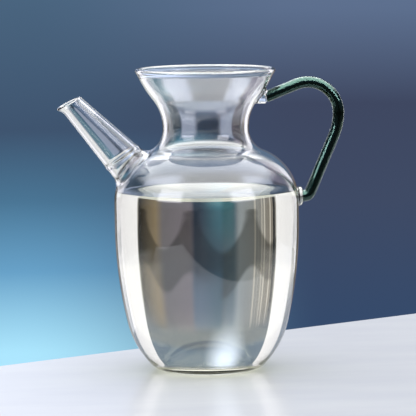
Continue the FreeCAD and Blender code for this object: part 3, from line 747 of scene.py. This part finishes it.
path = rod_path()
rod_rings = carried_circle(path, ROD_RADIUS, ROD_COLUMNS)
rod_number = np.arange(rod_rings[..., 0].size).reshape(rod_rings.shape[:2])
rod_ends = np.array([[path[0, 0], 0, path[0, 1]], [path[-1, 0], 0, path[-1, 1]]])
rod_points = np.concatenate([rod_rings.reshape(-1, 3), rod_ends]) * MM
rod_caps = [fan(rod_number.size, rod_number[0]), fan(rod_number.size + 1, rod_number[-1])[:, ::-1]]
rod = make_piece("bent_rod", rod_points, [ring_faces(rod_number)[:, ::-1], np.concatenate(rod_caps)])


# %% [markdown]
# ## Materials
#
# Clear glass is not a colour but a way for light to bend: a Principled shader with full transmission and
# the index of borosilicate glass, 1.47. Blown glass is never perfectly even, so a faint noise shifts its
# tint. The green rod takes its colour from its depth, through an absorbing volume, and a high index gives
# it the bright stripe along its top. For the shadow a clear shader stands in, because light that is bent
# into a shadow needs far more samples than a still picture has.

# %% Node helpers
NOISE_LOW, NOISE_HIGH = 0.3, 0.7


def new_material(name):
    """An empty node material, its node tree, and a function that adds a node and sets its sockets."""
    material = bpy.data.materials.new(name)
    material.use_nodes = True
    tree = material.node_tree
    tree.nodes.clear()
    return material, tree, adder(tree)


def adder(tree):
    """A function that adds a node of a type, with socket values by name."""
    def add(kind, **values):
        node = tree.nodes.new("ShaderNode" + kind)
        for key, value in values.items():
            node.inputs[key.replace("_", " ")].default_value = value
        return node
    return add


def clear_shadow(tree, add, surface, colour):
    """The surface shader, with a clear tinted one in its place for rays that carry shadow."""
    passing = add("BsdfTransparent", Color=(*colour, 1))
    path_info = add("LightPath")
    mix = add("MixShader")
    tree.links.new(path_info.outputs["Is Shadow Ray"], mix.inputs[0])
    tree.links.new(surface, mix.inputs[1])
    tree.links.new(passing.outputs[0], mix.inputs[2])
    return mix.outputs[0]


def soft_noise(tree, add, scale, detail):
    """A noise on the piece's own coordinates, in features per metre."""
    coordinates = add("TexCoord")
    noise = add("TexNoise", Scale=scale, Detail=detail, Roughness=0.5)
    tree.links.new(coordinates.outputs["Object"], noise.inputs["Vector"])
    return noise.outputs["Fac"]


def tint_between(tree, add, factor, first, second):
    """A ramp between two close colours, even up to NOISE_LOW and from NOISE_HIGH on."""
    ramp = add("ValToRGB")
    ramp.color_ramp.elements[0].color = (*first, 1)
    ramp.color_ramp.elements[1].color = (*second, 1)
    ramp.color_ramp.elements[0].position = NOISE_LOW
    ramp.color_ramp.elements[1].position = NOISE_HIGH
    tree.links.new(factor, ramp.inputs[0])
    return ramp.outputs[0]


print("node helpers ready, tints shift between", NOISE_LOW, "and", NOISE_HIGH, "of the noise")


# %% Clear glass, green glass and tea
def clear_body(name, index, noise, tints, shadow, depth=None, **more):
    """A clear body that bends light by its index, with a tint that shifts a little with a soft noise.

    noise gives the noise's scale and detail. depth gives a colour c and a density k for the inside, where
    light keeps the share exp(-(1 - c) k d) of itself over a distance d.
    """
    material, tree, add = new_material(name)
    shader = add("BsdfPrincipled", IOR=index, Roughness=0.0, Transmission_Weight=1.0, **more)
    tint = tint_between(tree, add, soft_noise(tree, add, *noise), *tints)
    tree.links.new(tint, shader.inputs["Base Color"])
    output = add("OutputMaterial")
    tree.links.new(clear_shadow(tree, add, shader.outputs[0], shadow), output.inputs["Surface"])
    if depth:
        colour, density = depth
        absorbing = add("VolumeAbsorption", Color=(*colour, 1), Density=density)
        tree.links.new(absorbing.outputs[0], output.inputs["Volume"])
    return material


# Borosilicate glass has a tint near white that shifts a little.
clear_glass = clear_body(
    "clear_borosilicate", 1.47, (30.0, 2.0), [(0.975, 0.985, 0.99), (0.99, 0.995, 1.0)], (0.93, 0.95, 0.96))
# Dark green rod glass has a deep colour that light only gets through where it is thin, and a bright polish.
green_glass = clear_body(
    "dark_green_rod_glass", 1.65, (120.0, 3.0), [(0.32, 0.66, 0.58), (0.38, 0.72, 0.64)], (0.08, 0.2, 0.17),
    depth=((0.1, 0.5, 0.42), 2400.0), Specular_Tint=(0.5, 0.92, 0.78, 1))
# Pale tea is clear and a little yellow in itself, and deeper in colour the more of it one looks through.
pale_tea = clear_body(
    "pale_tea", 1.333, (18.0, 2.0), [(0.98, 0.975, 0.945), (0.99, 0.985, 0.96)], (0.95, 0.92, 0.82),
    depth=((0.9, 0.88, 0.2), 2.3))

for piece, material, slot, node in (
    (glass, clear_glass, "clear_glass", "glass_body"),
    (rod, green_glass, "green_glass", "handle"),
    (tea, pale_tea, "tea", "tea"),
):
    piece.data.materials.append(material)
    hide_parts(node)
    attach(piece, "root")
    print(piece.name, "stands for", node)


# %% [markdown]
# ## The table
#
# Clear glass has no look of its own: what it shows is what stands round it. So the plain set matters as
# much as the piece. The table is a pale board whose far edge passes on a slant a hand behind the pitcher.

# %% Table
BOARD_TURN = math.radians(30.2)
BOARD_BACK = 0.0723
BOARD_LENGTH, BOARD_DEPTH, BOARD_THICK = 0.8, 0.25, 0.03


def board():
    """A flat box whose back edge passes behind the pitcher on a slant, with its top at z = 0."""
    along_edge = np.array([math.cos(BOARD_TURN), math.sin(BOARD_TURN)])
    back = np.array([-math.sin(BOARD_TURN), math.cos(BOARD_TURN)])
    far, near = back * BOARD_BACK, back * (BOARD_BACK - BOARD_DEPTH)
    half = along_edge * BOARD_LENGTH / 2
    corners = np.array([far - half, near - half, near + half, far + half])
    points = np.concatenate([np.c_[corners, np.zeros(4)], np.c_[corners, np.full(4, -BOARD_THICK)]])
    faces = [np.array([[0, 1, 2, 3], [7, 6, 5, 4], [0, 4, 5, 1], [1, 5, 6, 2], [2, 6, 7, 3], [3, 7, 4, 0]])]
    piece = make_piece("board", points, faces)
    piece.data.shade_flat()
    return piece


STONE, STONE_LIGHT = (0.84, 0.84, 0.88), (0.92, 0.92, 0.935)
VEIN_SCALE = (9.0, 34.0, 1.0)


def board_finish():
    """Pale stone: a cool white with faint veins that run along X, and a soft low gloss."""
    material, tree, add = new_material("pale_stone")
    shader = add("BsdfPrincipled", Roughness=0.24, Specular_IOR_Level=0.2)
    coordinates = add("TexCoord")
    stretched = add("Mapping", Scale=VEIN_SCALE)
    veins = add("TexNoise", Scale=1.0, Detail=4.0, Roughness=0.55)
    tree.links.new(coordinates.outputs["Object"], stretched.inputs["Vector"])
    tree.links.new(stretched.outputs[0], veins.inputs["Vector"])
    tint = tint_between(tree, add, veins.outputs["Fac"], STONE, STONE_LIGHT)
    tree.links.new(tint, shader.inputs["Base Color"])
    output = add("OutputMaterial")
    tree.links.new(shader.outputs[0], output.inputs["Surface"])
    return material


table = board()
table.data.materials.append(board_finish())
print("table top at z = 0, far edge", BOARD_BACK * 1000, "mm behind the axis")


# %% [markdown]
# ## The backdrop and the room
#
# The world is split by what asks for it. The camera sees a plain dusky blue with a pale glow low on the
# left. The glass sees that only straight ahead. Round it the glass sees a quiet room: slate and warm
# greys ahead, a dark wavy band at eye level, a few slats, a pale floor, a bright ceiling, a tall white
# panel on either side and a short one on either side in front. A body full of tea is a strong lens that
# swaps left and right and spreads 30 degrees of the room over its middle, so the tall panels become the
# bright strips down both sides. Rays that polished glass mirrors see the panels and the ceiling brighter
# than rays that pass through, because a mirrored ray keeps only a few hundredths of its light. The
# table's soft gloss has no part in that, since it would fill the picture with specks. Rays that have met
# few surfaces, so clear glass and no tea, also see two pale patches, which show in the neck. Everything
# else is lit by an even grey, which leaves colours as they are written.

# %% A kit for the world's nodes
class NodeKit:
    """Arithmetic and colour steps in one node tree: each takes sockets or values and gives a socket."""

    def __init__(self, tree):
        """Keeps the tree and the function that adds a node to it."""
        self.tree = tree
        self.add = adder(tree)

    def put(self, socket, value):
        """Links a socket to another one, or gives it a number or a colour of three numbers."""
        if isinstance(value, bpy.types.NodeSocket):
            self.tree.links.new(value, socket)
        elif isinstance(value, tuple):
            socket.default_value = (*value, 1)
        else:
            socket.default_value = value

    def math(self, operation, first, second=0.0):
        """One step of arithmetic."""
        node = self.add("Math")
        node.operation = operation
        self.put(node.inputs[0], first)
        self.put(node.inputs[1], second)
        return node.outputs[0]

    def times(self, first, second):
        """The product of two values."""
        return self.math("MULTIPLY", first, second)

    def size(self, value):
        """The value without its sign."""
        return self.math("ABSOLUTE", value)

    def ramp(self, value, stops):
        """A colour that follows a value in degrees through (degrees, colour) stops."""
        low, high = stops[0][0], stops[-1][0]
        span = self.add("MapRange")
        span.inputs["From Min"].default_value = low
        span.inputs["From Max"].default_value = high
        self.put(span.inputs["Value"], value)
        ramp = self.add("ValToRGB")
        elements = ramp.color_ramp.elements
        for position, colour in stops[1:-1]:
            elements.new((position - low) / (high - low)).color = (*colour, 1)
        elements[0].color = (*stops[0][1], 1)
        elements[-1].color = (*stops[-1][1], 1)
        self.put(ramp.inputs[0], span.outputs[0])
        return ramp.outputs[0]

    def step(self, value, start, end):
        """A smooth step 3 s^2 - 2 s^3, with s going evenly from 0 at start to 1 at end."""
        node = self.add("MapRange")
        node.interpolation_type = "SMOOTHSTEP"
        node.inputs["From Min"].default_value = start
        node.inputs["From Max"].default_value = end
        self.put(node.inputs["Value"], value)
        return node.outputs[0]

    def window(self, value, rise, fall):
        """1 between two soft edges: the product of a step up over rise and a step down over fall."""
        return self.times(self.step(value, *rise), self.step(value, *fall[::-1]))

    def patch(self, across, sides, up, heights):
        """1 on a soft-edged rectangle of directions and 0 outside: the product of two windows."""
        return self.times(self.window(across, *sides), self.window(up, *heights))

    def blend(self, factor, first, second):
        """The colour (1 - f) first + f second."""
        mix = self.add("MixRGB")
        self.put(mix.inputs[0], factor)
        self.put(mix.inputs[1], first)
        self.put(mix.inputs[2], second)
        return mix.outputs[0]


print("the kit's steps:", [name for name in vars(NodeKit) if not name.startswith("_")])


# %% Directions and the backdrop, in degrees right of the view and above the horizon
VIEW_TURN = 6.0
DUSK = [
    (-14, (0.04, 0.09, 0.18)), (-9, (0.035, 0.07, 0.15)), (-6, (0.05, 0.07, 0.13)),
    (-4, (0.05, 0.065, 0.12)), (-2, (0.11, 0.16, 0.27)), (6, (0.2, 0.27, 0.42)),
]
GLOW = [
    (-14, (0.5, 0.8, 1.0)), (-9.2, (0.42, 0.8, 1.0)), (-7.5, (0.14, 0.36, 0.58)),
    (-6, (0.07, 0.18, 0.3)), (-4.5, (0.05, 0.09, 0.16)), (6, (0.12, 0.24, 0.36)),
]
GLOW_SIDES = (-60.0, -30.0), (-4.2, 2.5)


def directions(kit):
    """How far a line of sight (x, y, z) points right, atan2(x, y), and up, asin z, in degrees."""
    coordinates = kit.add("TexCoord")
    turned_view = kit.add("Mapping")
    turned_view.inputs["Rotation"].default_value = (0, 0, math.radians(VIEW_TURN))
    kit.put(turned_view.inputs["Vector"], coordinates.outputs["Generated"])
    split = kit.add("SeparateXYZ")
    kit.put(split.inputs[0], turned_view.outputs[0])
    right = kit.math("ARCTAN2", split.outputs["X"], split.outputs["Y"])
    up = kit.math("ARCSINE", split.outputs["Z"])
    return kit.math("DEGREES", right), kit.math("DEGREES", up)


def backdrop(kit, right, up):
    """Dusky blue, paler above, with a cyan glow low on the left."""
    return kit.blend(kit.window(right, *GLOW_SIDES), kit.ramp(up, DUSK), kit.ramp(up, GLOW))


print("backdrop:", len(DUSK), "shades of blue and", len(GLOW), "of the glow")


# %% The walls
AHEAD = [
    (-26, (0.0, 0.0, 0.0)), (-25.2, (0.01, 0.01, 0.01)), (-24, (0.22, 0.19, 0.16)),
    (-10, (0.26, 0.29, 0.33)), (-8, (0.07, 0.11, 0.15)), (3.5, (0.02, 0.03, 0.05)),
    (4.5, (0.17, 0.15, 0.19)), (14, (0.14, 0.13, 0.15)), (17, (0.22, 0.17, 0.11)), (26, (0.02, 0.02, 0.02)),
]
BESIDE = [
    (26, (0.03, 0.03, 0.03)), (27, (0.40, 0.38, 0.36)), (46, (0.50, 0.48, 0.46)),
    (60, (0.12, 0.12, 0.12)), (180, (0.08, 0.08, 0.09)),
]
CORNER = (25.9, 26.1)
SLAT_SIDES, SLAT_COLOUR = ((-25.5, -24.0), (-16.5, -14.5)), (0.62, 0.58, 0.54)
SLAT_FINE, SLAT_BROAD = 2.9, 1.3
BAND, BAND_WAVES, BAND_SWING = ((-5.9, -5.4), (-2.8, -2.3)), 0.33, 0.9
BAND_SHADE, WALL_SHADE = (0.5, 0.5, 0.5), (1.2, 1.2, 1.25)


def walls(kit, right, up):
    """Cool and warm greys with slats ahead and grey at the sides, times a shade with a dark band.

    The slats are max(sin(a right) sin(b right), 0) of their colour, and the band waves with sin(k right).
    """
    away = kit.size(right)
    fine = kit.math("SINE", kit.times(right, SLAT_FINE))
    broad = kit.math("SINE", kit.times(right, SLAT_BROAD))
    slats = kit.times(kit.math("MAXIMUM", kit.times(fine, broad), 0.0), kit.window(right, *SLAT_SIDES))
    ahead = kit.blend(slats, kit.ramp(right, AHEAD), SLAT_COLOUR)
    colours = kit.blend(kit.step(away, *CORNER), ahead, kit.ramp(away, BESIDE))
    wave = kit.times(kit.math("SINE", kit.times(right, BAND_WAVES)), BAND_SWING)
    band = kit.window(kit.math("ADD", up, wave), *BAND)
    shaded = kit.add("MixRGB")
    shaded.blend_type = "MULTIPLY"
    kit.put(shaded.inputs[0], 1.0)
    kit.put(shaded.inputs[1], colours)
    kit.put(shaded.inputs[2], kit.blend(band, WALL_SHADE, BAND_SHADE))
    return shaded.outputs[0]


print("walls:", len(AHEAD), "shades ahead and", len(BESIDE), "at the sides")


# %% What stands in the room
VASE_SIDES, VASE_TOP, VASE_COLOUR = ((-9.5, -7.0), (-4.5, 2.5)), (-4.5, -7.5), (0.045, 0.15, 0.20)
FLOOR_EDGE, FLOOR_SIDES, FLOOR_COLOUR = (-10.0, -12.0), (115.0, 95.0), (0.80, 0.80, 0.78)
RAIL_EDGE, RAIL_COLOUR = (-0.5, 4.0), (0.13, 0.16, 0.21)
HIGH_EDGE, HIGH_COLOUR = (7.0, 11.0), (0.115, 0.18, 0.28)
SPOT_RIGHT, SPOT_UP, SPOT_SQUASH = -7.0, 16.0, 0.5
SPOT_EDGE, SPOT_COLOUR = (10.0, 1.0), (1.0, 1.15, 1.5)
CEILING_EDGE = (24.0, 44.0)


def round_spot(kit, right, up):
    """A round spot of light: a step over the distance sqrt(x^2 + (y / 2)^2) from its middle."""
    sideways = kit.math("SUBTRACT", right, SPOT_RIGHT)
    upward = kit.times(kit.math("SUBTRACT", up, SPOT_UP), SPOT_SQUASH)
    apart = kit.math("SQRT", kit.math("ADD", kit.times(sideways, sideways), kit.times(upward, upward)))
    return kit.step(apart, *SPOT_EDGE)


def room(kit, right, up, ceiling):
    """The walls, a teal vase and a pale floor low down, greys higher up, a spot of light and a ceiling."""
    vase = kit.times(kit.window(right, *VASE_SIDES), kit.step(up, *VASE_TOP))
    floor = kit.times(kit.step(up, *FLOOR_EDGE), kit.step(kit.size(right), *FLOOR_SIDES))
    seen = kit.blend(vase, walls(kit, right, up), VASE_COLOUR)
    seen = kit.blend(floor, seen, FLOOR_COLOUR)
    seen = kit.blend(kit.step(up, *RAIL_EDGE), seen, RAIL_COLOUR)
    seen = kit.blend(kit.step(up, *HIGH_EDGE), seen, HIGH_COLOUR)
    seen = kit.blend(round_spot(kit, right, up), seen, SPOT_COLOUR)
    return kit.blend(kit.step(up, *CEILING_EDGE), seen, ceiling)


print("the room has a vase, a floor, a spot of light and a ceiling above", CEILING_EDGE[0], "degrees")


# %% Rays, panels and pale patches
CEILING, CEILING_MIRRORED = (1.5, 1.5, 1.5), (7.5, 7.5, 7.5)
PANEL, PANEL_MIRRORED, CARD_MIRRORED = (1.15, 1.13, 1.25), (2.2, 2.2, 2.3), (7.0, 7.0, 7.6)
PANEL_SIDES, PANEL_HEIGHTS = ((26.9, 27.5), (44.5, 47.0)), ((-32.0, -28.0), (48.0, 52.0))
CARD_SIDES, CARD_HEIGHTS = ((112.0, 118.0), (144.0, 152.0)), ((8.0, 11.0), (30.0, 36.0))
PATCH_SIDES, PATCH_HEIGHTS = ((1.0, 1.8), (3.6, 4.4)), ((-7.6, -6.6), (-3.9, -2.9))
PATCH_MIDDLE, PATCH_SHARE, PATCH_COLOUR = 0.3, 0.7, (0.42, 0.47, 0.6)
TEA_SURFACES = 5.0
MIDDLE_SIDES, MIDDLE_TOP = (5.5, 3.5), (3.0, 0.0)
CLEAR_EDGE, CLEAR_LOW, CLEAR_MORE = (-4.0, -2.5), 0.3, 0.6
EVEN_GREY = (0.50, 0.53, 0.58)


def seen_straight(kit, away, up):
    """How much of the backdrop shows through the middle of the glass: a part low down and more above."""
    share = kit.math("ADD", kit.times(kit.step(up, *CLEAR_EDGE), CLEAR_MORE), CLEAR_LOW)
    return kit.times(share, kit.times(kit.step(away, *MIDDLE_SIDES), kit.step(up, *MIDDLE_TOP)))


def pale_patches(kit, rays, right, up):
    """How much a ray that has crossed few surfaces, so clear glass and no tea, sees of two pale patches."""
    aside = kit.size(kit.math("SUBTRACT", right, PATCH_MIDDLE))
    few_surfaces = kit.math("LESS_THAN", rays.outputs["Transmission Depth"], TEA_SURFACES)
    thin = kit.times(rays.outputs["Is Transmission Ray"], few_surfaces)
    return kit.times(kit.times(thin, kit.patch(aside, PATCH_SIDES, up, PATCH_HEIGHTS)), PATCH_SHARE)


print("a panel is", PANEL, "for rays that pass and", PANEL_MIRRORED, "for mirrored ones")


# %% The world put together
def studio_world():
    """The backdrop for the camera, backdrop and room for mirrored and bent rays, even grey for the rest."""
    world = bpy.data.worlds.new("studio")
    bpy.context.scene.world = world
    world.use_nodes = True
    world.node_tree.nodes.clear()
    kit = NodeKit(world.node_tree)
    right, up = directions(kit)
    away = kit.size(right)
    plain = backdrop(kit, right, up)
    rays = kit.add("LightPath")
    glossy, passing = rays.outputs["Is Glossy Ray"], rays.outputs["Is Transmission Ray"]
    mirrored = kit.times(rays.outputs["Is Singular Ray"], kit.math("SUBTRACT", glossy, passing))
    ceiling = kit.blend(mirrored, CEILING, CEILING_MIRRORED)
    panel = kit.blend(mirrored, PANEL, PANEL_MIRRORED)
    card = kit.blend(mirrored, PANEL, CARD_MIRRORED)
    around = kit.blend(seen_straight(kit, away, up), room(kit, right, up, ceiling), plain)
    around = kit.blend(kit.patch(away, PANEL_SIDES, up, PANEL_HEIGHTS), around, panel)
    around = kit.blend(kit.patch(away, CARD_SIDES, up, CARD_HEIGHTS), around, card)
    around = kit.blend(pale_patches(kit, rays, right, up), around, PATCH_COLOUR)
    by_glass = kit.math("MAXIMUM", glossy, passing)
    straight = kit.math("LESS_THAN", rays.outputs["Diffuse Depth"], 0.5)
    shown = kit.times(straight, kit.math("MAXIMUM", by_glass, rays.outputs["Is Camera Ray"]))
    colour = kit.blend(shown, EVEN_GREY, kit.blend(by_glass, plain, around))
    light = kit.add("Background", Strength=1.0)
    kit.put(light.inputs["Color"], colour)
    output = kit.add("OutputWorld")
    kit.put(output.inputs["Surface"], light.outputs[0])
    print("world:", len(world.node_tree.nodes), "nodes")


studio_world()


# %% [markdown]
# ## The lamp
#
# One wide lamp overhead gives the table its light and the soft shadow under the foot. It is large and
# far, so the shadow has no edge.

# %% Overhead lamp
LAMP_POWER, LAMP_WIDTH, LAMP_COLOUR = 17.0, 1.4, (1.0, 0.995, 0.99)
LAMP_PLACE = (0.1, 0.2, 1.6)


def overhead(power):
    """A square area lamp above the pitcher that faces straight down, unseen by the camera and the glass."""
    lamp = bpy.data.lights.new("overhead", "AREA")
    lamp.shape = "SQUARE"
    lamp.size = LAMP_WIDTH
    lamp.energy = power
    lamp.color = LAMP_COLOUR
    holder = bpy.data.objects.new("overhead", lamp)
    bpy.context.scene.collection.objects.link(holder)
    holder.location = LAMP_PLACE
    holder.visible_camera = False
    holder.visible_glossy = False
    holder.visible_transmission = False
    return holder


lamp = overhead(LAMP_POWER)
print("lamp", lamp.location[2], "m above the table")


# %% [markdown]
# ## The camera
#
# A long lens from a little above the rim, a few degrees round towards the spout.

# %% Camera
CAMERA_AT = Vector((-0.1401, -1.3327, 0.2264))
LOOK_AT = Vector((0.0, 0.0, 0.0808))
LENS, SENSOR = 233.3, 36.0
ROLL, AIM_RIGHT = 0.66, 0.029
PICTURE = 416


def add_camera():
    """A camera at CAMERA_AT: it looks at LOOK_AT, then turns a little right and rolls clockwise."""
    data = bpy.data.cameras.new("view")
    data.lens, data.sensor_width = LENS, SENSOR
    camera = bpy.data.objects.new("view", data)
    bpy.context.scene.collection.objects.link(camera)
    look = (LOOK_AT - CAMERA_AT).normalized()
    look.rotate(Matrix.Rotation(-math.radians(AIM_RIGHT), 3, "Z"))
    facing = look.to_track_quat("-Z", "Y").to_matrix()
    rolled = facing @ Matrix.Rotation(-math.radians(ROLL), 3, "Z")
    camera.matrix_world = Matrix.Translation(CAMERA_AT) @ rolled.to_4x4()
    bpy.context.scene.camera = camera
    return camera


def pixel(camera, point):
    """Where a point falls in the square picture, in pixels: middle + width lens / sensor (x, -y) / -z."""
    local = camera.matrix_world.inverted() @ Vector(point)
    middle, scale = PICTURE / 2, PICTURE * LENS / SENSOR
    return round(middle - scale * local.x / local.z, 2), round(middle + scale * local.y / local.z, 2)


camera = add_camera()
print("axis at the foot", pixel(camera, (0, 0, 0)), "axis at the rim", pixel(camera, (0, 0, HEIGHT * MM)))

# %% [markdown]
# ## Finish
#
# Colours are shown as they are.

# %% View and the end
bpy.context.scene.view_settings.view_transform = "Standard"
bpy.context.view_layer.update()
